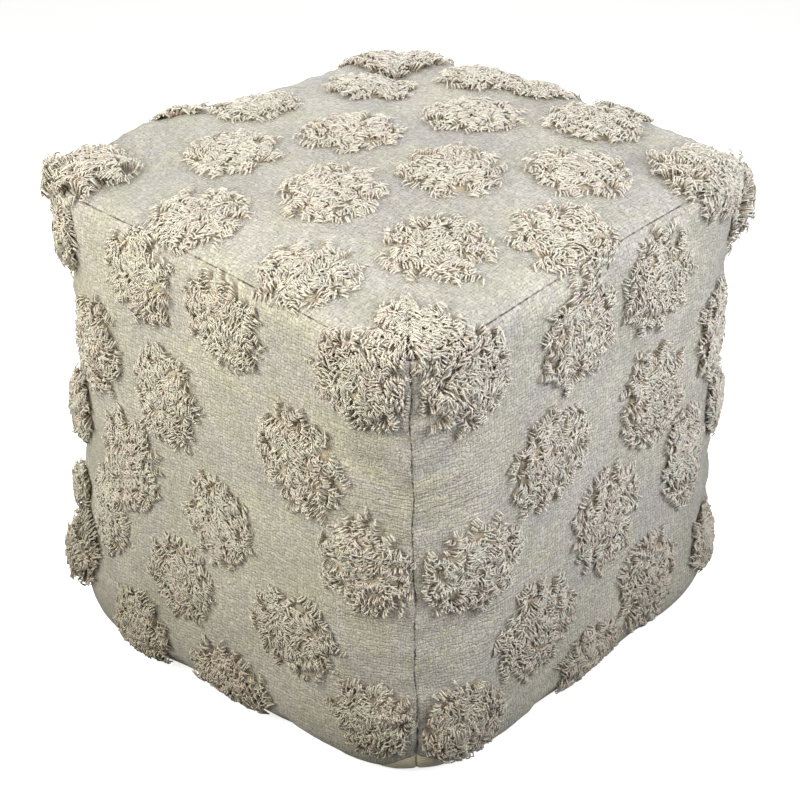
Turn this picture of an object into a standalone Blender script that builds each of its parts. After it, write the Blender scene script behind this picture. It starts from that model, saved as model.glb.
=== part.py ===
"""Cube pouf stool: a filled cube of hand-woven cotton with shaggy tufts of cut yarn.

The cover is one filled solid. It starts as a plain cube and cover_point moves it into
its stuffed form: crowned top, drawn-in corners, sides that widen to the base, rounded
lower edges and a flat base. Each tuft is a lumpy slab with a few longer locks at its
rim, settled on the cover. Tufts that run into each other are joined into one piece.

Panels, seen from outside with up pointing up: left faces -Y, right faces +X,
back_right faces +Y, back_left faces -X. The edge between left and right is the one
that points at the viewer.
"""
import math
import random
from collections import namedtuple

import bmesh
import bpy
from mathutils import Vector
from mathutils.bvhtree import BVHTree

MM = 0.001

# The unfilled cube: panels of 450 mm, seam to seam
SIDE = 450 * MM
HALF = SIDE / 2

# The filled cover
WIDTH = 465 * MM            # left panel, along X, across the middle
DEPTH = 473 * MM            # right panel, along Y, across the middle
WAIST = -0.017              # share by which the sides draw in at mid height
TAPER = -0.069              # share by which the top is narrower than the base
SQUARENESS_BASE = 5.7       # exponent of the plan outline, higher is squarer
SQUARENESS_TOP = 8.9
CROWN = 27 * MM             # rise of the top panel's middle above its corners' plane
SEAM_RISE = 7.5 * MM        # rise of the top seams' middles above the corners
BASE_ROUND_HEIGHT = 63 * MM
BASE_ROUND_INSET = 32 * MM
TOP_ROUND_HEIGHT = 9 * MM
TOP_ROUND_INSET = 2.5 * MM
COVER_CELLS = 14            # cells along a panel's side
COVER_EASING = 0.7          # how far the cells crowd towards the seams

# How each upright edge's ends are pulled from their even places, in millimetres
Corner = namedtuple("Corner", "side_x side_y top_x top_y top_z base_x base_y")
CORNERS = (
    Corner(-1, -1, top_x=0, top_y=4, top_z=9, base_x=12, base_y=-11),
    Corner(1, -1, top_x=-3, top_y=-6, top_z=-5, base_x=-9, base_y=13),
    Corner(1, 1, top_x=-2, top_y=13, top_z=4, base_x=0, base_y=5),
    Corner(-1, 1, top_x=12, top_y=7, top_z=-7, base_x=0, base_y=0),
)

# One tuft: a slab's depth, its rings from crown to underside, and its locks
PILE = 16 * MM
PARTING = 0.8 * MM          # left free on each side between two pieces
SEAM_LAP = 6 * MM           # how far a tuft on one panel goes on past a top seam
SEAT_GAP = 0.4 * MM         # from a tuft's underside to the cover
FLOOR_CLEAR = 3 * MM        # the lowest that a tuft hangs above the floor
LOWEST_ROOT = 12 * MM
CORE_DEPTH = 60 * MM        # depth of the core that the tufts point away from
LOWEST_LEAN = -0.2          # how far the lowest tufts may point down
Ring = namedtuple("Ring", "reach height")
RINGS = (
    Ring(reach=0.0, height=0.9),
    Ring(reach=0.45, height=1.0),
    Ring(reach=0.8, height=0.85),
    Ring(reach=1.0, height=0.3),
    Ring(reach=0.9, height=0.0),
    Ring(reach=0.48, height=0.0),
    Ring(reach=0.0, height=0.0),
)
RIM_RING = 3
LEAST_RIM = 18 * MM
HEIGHT_SPREAD = (0.78, 1.12)
WOBBLE = 0.035
LOCK_REACH = 17 * MM        # how far a lock stands out from the rim
LOCK_SPREAD = (0.8, 1.2)
LOCK_NARROWING = 0.68
LOCK_HEIGHT = 0.28
LOCK_UNDERSIDE = 0.05
SHORTEST_LOCK = 10 * MM
LOCKS_APART = 0.4           # least turn round the hub between two locks, in radians
DRAW_IN = 0.95              # step by which a point is drawn in from a neighbouring piece
DRAW_IN_STEPS = 24
CORNER_TURN = 0.75          # at an upper corner three panels, not four, share a full turn
SAMPLE_STEP = 2 * MM
SETTLE_PASSES = 40

# Cells round a piece and locks at its rim, by the number of panels that it lies on and
# whether two tufts run together in it
Make = namedtuple("Make", "sectors locks")
SINGLE = Make(sectors=12, locks=4)
DOUBLE = Make(sectors=18, locks=6)
CORNER = Make(sectors=24, locks=8)

# Where the tufts sit, in millimetres: across from the panel's middle and up from the
# base seam, or x and y from the middle of the top panel. Tufts with the same piece name
# run together: side by side, over a seam of the top panel, or round an upper corner.
Tuft = namedtuple("Tuft", "piece panel across up wide tall")
TUFTS = (
    # around the four upper corners
    Tuft("tuft_corner_front", "top", 197, -188, 90, 84),
    Tuft("tuft_corner_front", "left", 177, 424, 98, 78),
    Tuft("tuft_corner_front", "right", -176, 414, 102, 84),
    Tuft("tuft_corner_left", "top", -200, -196, 96, 92),
    Tuft("tuft_corner_left", "left", -186, 408, 56, 74),
    Tuft("tuft_corner_left", "back_left", 186, 420, 80, 84),
    Tuft("tuft_corner_right", "top", 203, 146, 98, 100),
    Tuft("tuft_corner_right", "right", 165, 422, 92, 82),
    Tuft("tuft_corner_right", "back_right", -192, 422, 80, 82),
    Tuft("tuft_corner_back", "top", -194, 192, 96, 96),
    Tuft("tuft_corner_back", "back_left", -182, 425, 88, 80),
    Tuft("tuft_corner_back", "back_right", 184, 425, 88, 80),
    # top panel
    Tuft("tuft_top_01", "top", -54, -190, 92, 88),
    Tuft("tuft_top_01", "left", -85, 411, 88, 84),
    Tuft("tuft_top_02", "top", 77, -190, 92, 88),
    Tuft("tuft_top_03", "top", -118, -96, 94, 92),
    Tuft("tuft_top_04", "top", 9, -94, 96, 96),
    Tuft("tuft_top_05", "top", 134, -96, 100, 100),
    Tuft("tuft_top_06", "top", -184, -3, 84, 88),
    Tuft("tuft_top_07", "top", -61, 2, 96, 102),
    Tuft("tuft_top_08", "top", 62, 3, 94, 96),
    Tuft("tuft_top_09", "top", 195, -12, 98, 102),
    Tuft("tuft_top_10", "top", -146, 110, 92, 94),
    Tuft("tuft_top_11", "top", -9, 103, 94, 98),
    Tuft("tuft_top_12", "top", 137, 82, 96, 100),
    Tuft("tuft_top_13", "top", -81, 194, 80, 78),
    Tuft("tuft_top_13", "top", -22, 212, 74, 70),
    Tuft("tuft_top_14", "top", 78, 172, 98, 98),
    Tuft("tuft_top_14", "back_right", -66, 440, 72, 64),
    # left panel
    Tuft("tuft_left_01", "left", 18, 407, 98, 82),
    Tuft("tuft_left_02", "left", -156, 321, 82, 98),
    Tuft("tuft_left_03", "left", -57, 308, 80, 102),
    Tuft("tuft_left_04", "left", 104, 315, 104, 104),
    Tuft("tuft_left_05", "left", -109, 222, 76, 106),
    Tuft("tuft_left_05", "left", -147, 157, 60, 98),
    Tuft("tuft_left_06", "left", -204, 237, 56, 78),
    Tuft("tuft_left_07", "left", 2, 208, 86, 94),
    Tuft("tuft_left_08", "left", 173, 237, 98, 106),
    Tuft("tuft_left_09", "left", -213, 92, 62, 92),
    Tuft("tuft_left_10", "left", -46, 126, 80, 86),
    Tuft("tuft_left_11", "left", 92, 134, 104, 86),
    Tuft("tuft_left_12", "left", -96, 56, 80, 76),
    Tuft("tuft_left_13", "left", 14, 52, 94, 72),
    Tuft("tuft_left_14", "left", 176, 78, 94, 78),
    # right panel
    Tuft("tuft_right_01", "right", -33, 390, 102, 102),
    Tuft("tuft_right_02", "right", 72, 395, 98, 100),
    Tuft("tuft_right_03", "right", 172, 307, 68, 114),
    Tuft("tuft_right_04", "right", -67, 289, 108, 102),
    Tuft("tuft_right_05", "right", 71, 284, 94, 112),
    Tuft("tuft_right_06", "right", 122, 194, 62, 114),
    Tuft("tuft_right_07", "right", -165, 225, 106, 100),
    Tuft("tuft_right_08", "right", 10, 186, 92, 116),
    Tuft("tuft_right_09", "right", 168, 77, 66, 82),
    Tuft("tuft_right_10", "right", -84, 122, 112, 98),
    Tuft("tuft_right_11", "right", 70, 86, 84, 112),
    Tuft("tuft_right_12", "right", -175, 66, 94, 92),
    Tuft("tuft_right_13", "right", -12, 46, 86, 64),
    Tuft("tuft_right_14", "right", 202, 214, 56, 72),
    # back left panel
    Tuft("tuft_back_left_07", "back_left", 66, 426, 66, 48),
    Tuft("tuft_back_left_01", "back_left", 150, 322, 96, 100),
    Tuft("tuft_back_left_01", "back_left", 100, 250, 94, 98),
    Tuft("tuft_back_left_02", "back_left", 140, 132, 94, 98),
    Tuft("tuft_back_left_02", "back_left", 90, 60, 92, 86),
    Tuft("tuft_back_left_03", "back_left", 18, 350, 94, 98),
    Tuft("tuft_back_left_03", "back_left", -32, 278, 94, 96),
    Tuft("tuft_back_left_04", "back_left", 18, 160, 92, 96),
    Tuft("tuft_back_left_04", "back_left", -32, 88, 94, 94),
    Tuft("tuft_back_left_05", "back_left", -104, 382, 92, 90),
    Tuft("tuft_back_left_05", "back_left", -154, 310, 94, 96),
    Tuft("tuft_back_left_06", "back_left", -112, 196, 92, 98),
    Tuft("tuft_back_left_06", "back_left", -162, 124, 92, 94),
    # back right panel
    Tuft("tuft_back_right_01", "back_right", -150, 322, 94, 98),
    Tuft("tuft_back_right_01", "back_right", -100, 250, 94, 98),
    Tuft("tuft_back_right_02", "back_right", -138, 132, 92, 96),
    Tuft("tuft_back_right_02", "back_right", -88, 60, 94, 86),
    Tuft("tuft_back_right_03", "back_right", -18, 352, 94, 96),
    Tuft("tuft_back_right_03", "back_right", 32, 280, 94, 98),
    Tuft("tuft_back_right_04", "back_right", -14, 162, 94, 98),
    Tuft("tuft_back_right_04", "back_right", 36, 90, 94, 94),
    Tuft("tuft_back_right_05", "back_right", 102, 384, 92, 88),
    Tuft("tuft_back_right_05", "back_right", 152, 312, 94, 98),
    Tuft("tuft_back_right_06", "back_right", 112, 198, 92, 96),
    Tuft("tuft_back_right_06", "back_right", 162, 126, 92, 94),
)
SIDE_PANELS = ("left", "right", "back_right", "back_left")

CLOTH_COLOUR = (0.66, 0.61, 0.53, 1.0)
YARN_COLOUR = (0.62, 0.54, 0.45, 1.0)
CLOTH_ROUGHNESS = 0.95
YARN_ROUGHNESS = 0.9


def quarter_round(share):
    """How far a rounded edge is drawn in, from 1 at its end to 0 where it starts."""
    share = min(max(share, 0.0), 1.0)
    return 1 - math.sqrt(1 - (1 - share) ** 2)


def cover_point(x, y, z):
    """Point of the filled cover for the point (x, y, z) on the unfilled cube."""
    out = max(abs(x), abs(y), 1e-6) / HALF
    a = x / (out * HALF)
    b = y / (out * HALF)
    height = z / SIDE
    inward = 1 - min(abs(a), abs(b)) ** 2

    squareness = SQUARENESS_BASE + (SQUARENESS_TOP - SQUARENESS_BASE) * height ** 1.5
    ring = (abs(a) ** squareness + abs(b) ** squareness) ** (1 / squareness)
    fill = 1 + WAIST * 4 * height * (1 - height) + TAPER * (height - 0.5)
    fill -= BASE_ROUND_INSET / HALF * quarter_round(z / BASE_ROUND_HEIGHT)
    fill -= TOP_ROUND_INSET / HALF * quarter_round((SIDE - z) / TOP_ROUND_HEIGHT)
    point = Vector((a / ring * WIDTH / 2 * fill, b / ring * DEPTH / 2 * fill, 0))

    rise = 0.0
    for corner in CORNERS:
        near = (1 + corner.side_x * a) / 2 * (1 + corner.side_y * b) / 2
        point.x += near * MM * (height * corner.top_x + (1 - height) * corner.base_x)
        point.y += near * MM * (height * corner.top_y + (1 - height) * corner.base_y)
        rise += near * MM * corner.top_z
    point *= out
    point.z = z + height * (SEAM_RISE * inward * out ** 2 + rise * out)
    if out < 1:
        point.z += height * CROWN * (1 - (out * a) ** 2) * (1 - (out * b) ** 2)
    return point


def side_point(panel, across, up):
    """Point on the cover, counted from a side panel's middle and base seam.

    Past an upright seam it goes on over the next panel, past the top seam over the top.
    """
    turns, along = divmod(SIDE_PANELS.index(panel) * SIDE + across + HALF, SIDE)
    x, y = along - HALF, max(up - SIDE, 0.0) - HALF
    for _ in range(int(turns) % 4):
        x, y = -y, x
    return cover_point(x, y, min(max(up, LOWEST_ROOT), SIDE))


def seen_from_side(panel, x, y):
    """A place on the top panel, counted as side_point counts it from a side panel."""
    for _ in range(SIDE_PANELS.index(panel)):
        x, y = y, -x
    return x, y + HALF + SIDE


def top_point(x, y):
    """Point on the cover near the top panel, lapping a little past its seams."""
    over = max(abs(x), abs(y)) - HALF
    if over <= 0:
        return cover_point(x, y, SIDE)
    x = min(max(x, -HALF), HALF)
    y = min(max(y, -HALF), HALF)
    return cover_point(x, y, SIDE - min(over, SEAM_LAP))


def outward(point):
    """Direction out of the cover, turning evenly from one panel's to the next."""
    core = Vector((min(max(point.x, CORE_DEPTH - WIDTH / 2), WIDTH / 2 - CORE_DEPTH),
                   min(max(point.y, CORE_DEPTH - DEPTH / 2), DEPTH / 2 - CORE_DEPTH),
                   min(max(point.z, CORE_DEPTH), SIDE - CORE_DEPTH)))
    out = (point - core).normalized()
    out.z = max(out.z, LOWEST_LEAN)
    return out.normalized()


def new_object(name, mesh_builder, collection):
    mesh = bpy.data.meshes.new(name)
    mesh_builder.normal_update()
    bmesh.ops.recalc_face_normals(mesh_builder, faces=mesh_builder.faces)
    mesh_builder.to_mesh(mesh)
    mesh_builder.free()
    obj = bpy.data.objects.new(name, mesh)
    collection.objects.link(obj)
    return obj


def eased(value):
    """A coordinate of the cube, moved towards its seams so that the cells crowd there."""
    share = value / HALF
    return HALF * ((1 - COVER_EASING) * share + COVER_EASING * math.sin(share * math.pi / 2))


def build_cover(collection):
    """The filled cube as one closed solid."""
    cover = bmesh.new()
    bmesh.ops.create_cube(cover, size=SIDE)
    bmesh.ops.subdivide_edges(cover, edges=cover.edges[:], cuts=COVER_CELLS - 1,
                              use_grid_fill=True)
    for vertex in cover.verts:
        x, y, z = (eased(value) for value in vertex.co)
        vertex.co = cover_point(x, y, z + HALF)
    bmesh.ops.triangulate(cover, faces=cover.faces[:])
    return new_object("pouf_body", cover, collection)


class Lobe:
    """One round tuft of a piece: its middle, counted from the piece's hub, and its size."""

    def __init__(self, tuft, across, up):
        self.across = across
        self.up = up
        self.half_wide = tuft.wide * MM / 2
        self.half_tall = tuft.tall * MM / 2
        self.radius = (self.half_wide + self.half_tall) / 2
        if tuft.panel == "top":
            self.middle = top_point(tuft.across * MM, tuft.up * MM)
        else:
            self.middle = side_point(tuft.panel, tuft.across * MM, tuft.up * MM)

    def far_edge(self, across, up):
        """Distance from the hub to the lobe's far edge along a direction, or 0."""
        a = (across / self.half_wide) ** 2 + (up / self.half_tall) ** 2
        b = across * self.across / self.half_wide ** 2 + up * self.up / self.half_tall ** 2
        c = (self.across / self.half_wide) ** 2 + (self.up / self.half_tall) ** 2 - 1
        root = b * b - a * c
        return (b + math.sqrt(root)) / a if root > 0 else 0.0


class Piece:
    """One solid of yarn: a squashed sphere laid on the cover round a hub, with locks."""

    def __init__(self, name, tufts, seed):
        self.name = name
        self.chance = random.Random(seed)
        self.wobbles = [(count, self.chance.uniform(0, math.tau)) for count in (2, 3, 5)]
        self.make = SINGLE if len(tufts) == 1 else DOUBLE
        self.set_hub(tufts)

    def set_hub(self, tufts):
        """Hub in the middle of the tufts; their places are counted from it."""
        self.panel = tufts[0].panel
        self.hub_across = sum(tuft.across for tuft in tufts) / len(tufts) * MM
        self.hub_up = sum(tuft.up for tuft in tufts) / len(tufts) * MM
        self.lobes = [Lobe(tuft, tuft.across * MM - self.hub_across, tuft.up * MM - self.hub_up)
                      for tuft in tufts]

    def rim(self, angle):
        """Distance from the hub to the rim, in each direction."""
        edges = [lobe.far_edge(math.cos(angle), math.sin(angle)) for lobe in self.lobes]
        wobble = sum(WOBBLE * math.sin(count * angle + shift) for count, shift in self.wobbles)
        return max(LEAST_RIM, *edges) * (1 + wobble)

    def root(self, angle, distance):
        """Point on the cover at a distance from the hub."""
        across = self.hub_across + math.cos(angle) * distance
        up = self.hub_up + math.sin(angle) * distance
        if self.panel == "top":
            return top_point(across, up)
        return side_point(self.panel, across, min(up, SIDE + SEAM_LAP))

    def place(self, angle, distance, height, others):
        """A point of the piece, drawn in where it would come too near to another piece."""
        for _ in range(DRAW_IN_STEPS):
            root = self.root(angle, distance)
            point = root + outward(root) * height
            own = min((point - lobe.middle).length - lobe.radius for lobe in self.lobes)
            other = min((point - lobe.middle).length - lobe.radius for lobe in others)
            if own < other - 2 * PARTING:
                break
            distance *= DRAW_IN
        point.z = max(point.z, FLOOR_CLEAR)
        return point

    def build(self, pieces, cover_tree):
        """The piece's mesh, settled on the cover."""
        others = [lobe for piece in pieces if piece is not self for lobe in piece.lobes]
        slab = bmesh.new()
        bands = len(RINGS) - 1
        bmesh.ops.create_uvsphere(slab, u_segments=self.make.sectors, v_segments=bands, radius=1)
        places = {}
        for vertex in slab.verts:
            ring = round(math.acos(max(-1, min(1, vertex.co.z))) / math.pi * bands)
            angle = math.atan2(vertex.co.y, vertex.co.x) % math.tau
            height = RINGS[ring].height * PILE * self.chance.uniform(*HEIGHT_SPREAD)
            places[vertex] = (ring, angle, RINGS[ring].reach * self.rim(angle), height)
        self.draw_locks(slab, places, others)

        for vertex, (_, angle, distance, height) in places.items():
            vertex.co = self.place(angle, distance, height + SEAT_GAP, others)
        bmesh.ops.triangulate(slab, faces=slab.faces[:])
        settle(slab, cover_tree)
        return slab

    def draw_locks(self, slab, places, others):
        """Pull some of the rim's faces out into tapered four-sided locks."""
        rim = [face for face in slab.faces
               if {places[vertex][0] for vertex in face.verts} == {RIM_RING, RIM_RING + 1}]
        self.chance.shuffle(rim)
        drawn = []
        for face in rim:
            middle = face.calc_center_median()
            angle = math.atan2(middle.y, middle.x) % math.tau
            next_to = any(abs((angle - other + math.pi) % math.tau - math.pi) < LOCKS_APART
                          for other in drawn)
            if len(drawn) == self.make.locks or next_to or not self.is_free(angle, others):
                continue
            drawn.append(angle)
            tip = bmesh.ops.extrude_discrete_faces(slab, faces=[face])["faces"][0]
            reach = self.rim(angle) + LOCK_REACH * self.chance.uniform(*LOCK_SPREAD)
            for vertex in tip.verts:
                turn = (angle - math.atan2(vertex.co.y, vertex.co.x) + math.pi) % math.tau - math.pi
                height = PILE * (LOCK_HEIGHT if vertex.co.z > middle.z else LOCK_UNDERSIDE)
                places[vertex] = (RIM_RING, angle - (1 - LOCK_NARROWING) * turn, reach, height)

    def is_free(self, angle, others):
        """Whether a lock drawn this way has its full length to itself."""
        foot = self.place(angle, self.rim(angle), 0.0, others)
        tip = self.place(angle, self.rim(angle) + LOCK_REACH, 0.0, others)
        return (tip - foot).length > SHORTEST_LOCK


class SeamPiece(Piece):
    """Tufts that meet over a top seam: the hub lies on the seam, counted from the side."""

    def root(self, angle, distance):
        across = self.hub_across + math.cos(angle) * distance
        return side_point(self.panel, across, self.hub_up + math.sin(angle) * distance)

    def set_hub(self, tufts):
        side = next(tuft for tuft in tufts if tuft.panel != "top")
        self.panel = side.panel
        places = [(tuft, *(seen_from_side(side.panel, tuft.across * MM, tuft.up * MM)
                           if tuft.panel == "top" else (tuft.across * MM, tuft.up * MM)))
                  for tuft in tufts]
        self.hub_across = sum(across for _, across, _ in places) / len(places)
        self.hub_up = SIDE
        self.lobes = [Lobe(tuft, across - self.hub_across, up - self.hub_up)
                      for tuft, across, up in places]


class CornerPiece(Piece):
    """Tufts round an upper corner: the three panels there share one full turn.

    The turn starts at the upright seam, runs over the panel left of it, the top and the
    panel right of it, a quarter of flat cloth on each, and ends at the upright seam.
    """

    def set_hub(self, tufts):
        self.make = CORNER
        sides = [tuft.panel for tuft in tufts if tuft.panel != "top"]
        numbers = [SIDE_PANELS.index(panel) for panel in sides]
        first = next(number for number in numbers if (number + 1) % 4 in numbers)
        self.panel = SIDE_PANELS[first]
        self.lobes = []
        for tuft in tufts:
            across, up = tuft.across * MM, tuft.up * MM
            if tuft.panel == "top":
                across, up = seen_from_side(self.panel, across, up)
                flat_angle = math.pi / 2 + math.atan2(up - SIDE, HALF - across)
            elif tuft.panel == self.panel:
                flat_angle = math.atan2(HALF - across, SIDE - up)
            else:
                flat_angle = math.pi + math.atan2(SIDE - up, across + HALF)
                across = -across
            distance = math.hypot(HALF - across, SIDE - up)
            lobe = Lobe(tuft, distance, 0.0)
            lobe.half_wide = lobe.half_tall = lobe.radius
            lobe.flat_angle = flat_angle
            self.lobes.append(lobe)

    def rim(self, angle):
        flat = angle * CORNER_TURN
        full = math.tau * CORNER_TURN
        edges = []
        for lobe in self.lobes:
            turn = (flat - lobe.flat_angle + full / 2) % full - full / 2
            edges.append(lobe.far_edge(math.cos(turn), math.sin(turn)))
        wobble = sum(WOBBLE * math.sin(count * angle + shift) for count, shift in self.wobbles)
        return max(LEAST_RIM, *edges) * (1 + wobble)

    def root(self, angle, distance):
        quarter, turn = divmod(angle % math.tau * CORNER_TURN, math.pi / 2)
        forward, sideways = math.cos(turn) * distance, math.sin(turn) * distance
        if quarter == 0:
            return side_point(self.panel, HALF - sideways, SIDE - forward)
        if quarter == 1:
            return side_point(self.panel, HALF - forward, SIDE + sideways)
        next_panel = SIDE_PANELS[(SIDE_PANELS.index(self.panel) + 1) % 4]
        return side_point(next_panel, forward - HALF, SIDE - sideways)


def new_piece(name, tufts, seed):
    kinds = {1: Piece, 2: SeamPiece, 3: CornerPiece}
    return kinds[len({tuft.panel for tuft in tufts})](name, tufts, seed)


def sample_points(face):
    """Points spread over a triangle, its corners among them."""
    a, b, c = (vertex.co for vertex in face.verts)
    longest = max((b - a).length, (c - b).length, (a - c).length)
    steps = max(1, math.ceil(longest / SAMPLE_STEP))
    for i in range(steps + 1):
        for j in range(steps + 1 - i):
            yield a + (b - a) * (i / steps) + (c - a) * (j / steps)


def settle(slab, cover_tree):
    """Lift the slab's points until no face of it comes nearer to the cover than the gap."""
    for _ in range(SETTLE_PASSES):
        lift = {}
        for face in slab.faces:
            lack = 0.0
            for point in sample_points(face):
                spot, normal, _, distance = cover_tree.find_nearest(point)
                if (point - spot).dot(normal) < 0:
                    distance = -distance
                lack = max(lack, SEAT_GAP - distance)
            if lack > 1e-6:
                for vertex in face.verts:
                    lift[vertex] = max(lift.get(vertex, 0.0), lack)
        if not lift:
            return
        for vertex, lack in lift.items():
            vertex.co += outward(vertex.co) * lack


def material_for(obj, colour, roughness):
    material = bpy.data.materials.new(obj.name)
    material.use_nodes = True
    surface = material.node_tree.nodes["Principled BSDF"]
    surface.inputs["Base Color"].default_value = colour
    surface.inputs["Roughness"].default_value = roughness
    surface.inputs["Metallic"].default_value = 0.0
    obj.data.materials.clear()
    obj.data.materials.append(material)
    obj.data.shade_smooth()


def centre_on_origin(objects):
    """Shift everything level, so that the middle of the whole lies over the origin."""
    corners = [vertex.co for obj in objects for vertex in obj.data.vertices]
    middle_x = (min(co.x for co in corners) + max(co.x for co in corners)) / 2
    middle_y = (min(co.y for co in corners) + max(co.y for co in corners)) / 2
    for obj in objects:
        obj.location = (-middle_x, -middle_y, 0)


def main():
    for obj in list(bpy.data.objects):
        bpy.data.objects.remove(obj)
    collection = bpy.data.collections.new("Cube pouf stool")
    bpy.context.scene.collection.children.link(collection)

    body = build_cover(collection)
    material_for(body, CLOTH_COLOUR, CLOTH_ROUGHNESS)
    cover_tree = BVHTree.FromPolygons([vertex.co for vertex in body.data.vertices],
                                      [polygon.vertices for polygon in body.data.polygons])

    names = list(dict.fromkeys(tuft.piece for tuft in TUFTS))
    pieces = [new_piece(name, [tuft for tuft in TUFTS if tuft.piece == name], seed)
              for seed, name in enumerate(names)]
    objects = [body]
    for piece in pieces:
        yarn = new_object(piece.name, piece.build(pieces, cover_tree), collection)
        material_for(yarn, YARN_COLOUR, YARN_ROUGHNESS)
        objects.append(yarn)
    centre_on_origin(objects)


main()
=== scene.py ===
# %% [markdown]
# # Cube pouf stool
# A pouf is a sewn cube of cloth, stuffed until it stands by itself. This one is hand-woven in
# oatmeal cotton, and round tufts of cut yarn are worked into it in staggered rows. This lesson
# dresses it in three steps: the stuffed cover, the woven finish, and the tufts, strand by
# strand. Then it is put on a floor, lit and seen. Lengths are in metres, and a value times MM
# is written in millimetres.

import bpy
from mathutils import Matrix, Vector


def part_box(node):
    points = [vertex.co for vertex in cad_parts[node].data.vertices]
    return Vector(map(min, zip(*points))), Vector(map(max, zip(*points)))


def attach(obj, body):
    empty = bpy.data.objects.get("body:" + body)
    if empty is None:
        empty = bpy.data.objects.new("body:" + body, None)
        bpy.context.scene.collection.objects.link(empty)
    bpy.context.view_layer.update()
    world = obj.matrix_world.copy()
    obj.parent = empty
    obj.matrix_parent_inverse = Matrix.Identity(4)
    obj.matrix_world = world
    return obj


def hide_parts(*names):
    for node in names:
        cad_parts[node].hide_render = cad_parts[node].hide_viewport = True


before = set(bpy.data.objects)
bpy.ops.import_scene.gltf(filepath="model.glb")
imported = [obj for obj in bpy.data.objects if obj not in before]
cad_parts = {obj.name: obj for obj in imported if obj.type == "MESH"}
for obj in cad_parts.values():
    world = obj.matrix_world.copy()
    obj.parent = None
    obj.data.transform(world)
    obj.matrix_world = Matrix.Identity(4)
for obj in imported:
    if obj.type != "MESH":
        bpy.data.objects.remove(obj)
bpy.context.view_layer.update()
print("solids in the frame:", len(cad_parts))

# %% What the rest of the lesson uses
import math
from collections import namedtuple

import bmesh
import bpy
import numpy as np
from mathutils import Vector
from mathutils.bvhtree import BVHTree

MM = 0.001
NEAR = 0.01 * MM            # points closer than this count as one place
TURN = math.tau

# %% [markdown]
# ## The form of the stuffed cover
# The cover is cut as five square panels and a base. Stuffing pushes the flat panels out and
# draws the corners in. It could be sculpted freely, but a formula keeps the cover on the
# solid that it stands for: each point of the flat cube has one place on the stuffed cube.

# %% Sizes of the cover
SIDE = 450 * MM             # a panel, seam to seam
HALF = SIDE / 2
WIDTH = 465 * MM            # stuffed, along X
DEPTH = 473 * MM            # stuffed, along Y
WAIST = -0.017              # share by which the sides draw in at mid height
TAPER = -0.069              # share by which the top is narrower than the base
SQUARENESS_BASE = 5.7       # exponent of the plan outline, higher is squarer
SQUARENESS_TOP = 8.9
SQUARENESS_RISE = 1.5       # how far up most of that change comes
CROWN = 27 * MM             # rise of the top panel's middle
SEAM_RISE = 7.5 * MM        # rise of the top seams' middles above the corners
BASE_ROUND_HEIGHT = 63 * MM
BASE_ROUND_INSET = 32 * MM
TOP_ROUND_HEIGHT = 9 * MM
TOP_ROUND_INSET = 2.5 * MM
SIDE_PANELS = ("left", "right", "back_right", "back_left")   # facing -Y, +X, +Y and -X

Corner = namedtuple("Corner", "side_x side_y top_x top_y top_z base_x base_y")
CORNERS = (                 # how each upright edge's ends are pulled, in millimetres
    Corner(-1, -1, top_x=0, top_y=4, top_z=9, base_x=12, base_y=-11),
    Corner(1, -1, top_x=-3, top_y=-6, top_z=-5, base_x=-9, base_y=13),
    Corner(1, 1, top_x=-2, top_y=13, top_z=4, base_x=0, base_y=5),
    Corner(-1, 1, top_x=12, top_y=7, top_z=-7, base_x=0, base_y=0),
)

# %% From the flat cube to the stuffed cover
def quarter_round(share):
    """How far a rounded edge is drawn in, from 1 at its end to 0 where it starts."""
    share = np.clip(share, 0, 1)
    return 1 - np.sqrt(1 - (1 - share) ** 2)


def stuffed(cube):
    """Points of the stuffed cover for points of the flat cube, one point to a row."""
    x, y, z = np.asarray(cube, float).T
    out = np.maximum(np.maximum(abs(x), abs(y)), 1e-6) / HALF
    a = x / (out * HALF)
    b = y / (out * HALF)
    height = z / SIDE
    inward = 1 - np.minimum(abs(a), abs(b)) ** 2

    squareness = SQUARENESS_BASE + (SQUARENESS_TOP - SQUARENESS_BASE) * height ** SQUARENESS_RISE
    ring = (abs(a) ** squareness + abs(b) ** squareness) ** (1 / squareness)
    fill = 1 + WAIST * 4 * height * (1 - height) + TAPER * (height - 0.5)
    fill -= BASE_ROUND_INSET / HALF * quarter_round(z / BASE_ROUND_HEIGHT)
    fill -= TOP_ROUND_INSET / HALF * quarter_round((SIDE - z) / TOP_ROUND_HEIGHT)
    point = np.stack([a / ring * WIDTH / 2 * fill, b / ring * DEPTH / 2 * fill, 0 * z], 1)

    rise = 0.0
    for corner in CORNERS:
        near = (1 + corner.side_x * a) / 2 * (1 + corner.side_y * b) / 2 * MM
        point[:, 0] += near * (height * corner.top_x + (1 - height) * corner.base_x)
        point[:, 1] += near * (height * corner.top_y + (1 - height) * corner.base_y)
        rise = rise + near * corner.top_z
    point *= out[:, None]
    crown = CROWN * (1 - np.minimum(out * abs(a), 1) ** 2) * (1 - np.minimum(out * abs(b), 1) ** 2)
    point[:, 2] = z + height * (SEAM_RISE * inward * out ** 2 + rise * out + crown)
    return point


# %% [markdown]
# ## Sewing the cube and letting it fill
# A stuffed cover isn't even: the cloth puffs out between its seams and puckers where it is
# sewn. That could be drawn with noise, but cloth that is really pushed out by a pressure
# looks righter, so the panels are filled by a cloth simulation while their seams are held,
# and the result is kept as a small offset from the formula above.

# %% A cube of cloth, flat panels, cells crowded towards the seams
COVER_CELLS = 42            # along a panel's side, before they are halved
COVER_EASING = 0.7          # how far the cells crowd towards the seams


def eased(value):
    share = value / HALF
    return HALF * ((1 - COVER_EASING) * share + COVER_EASING * np.sin(share * math.pi / 2))


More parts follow.
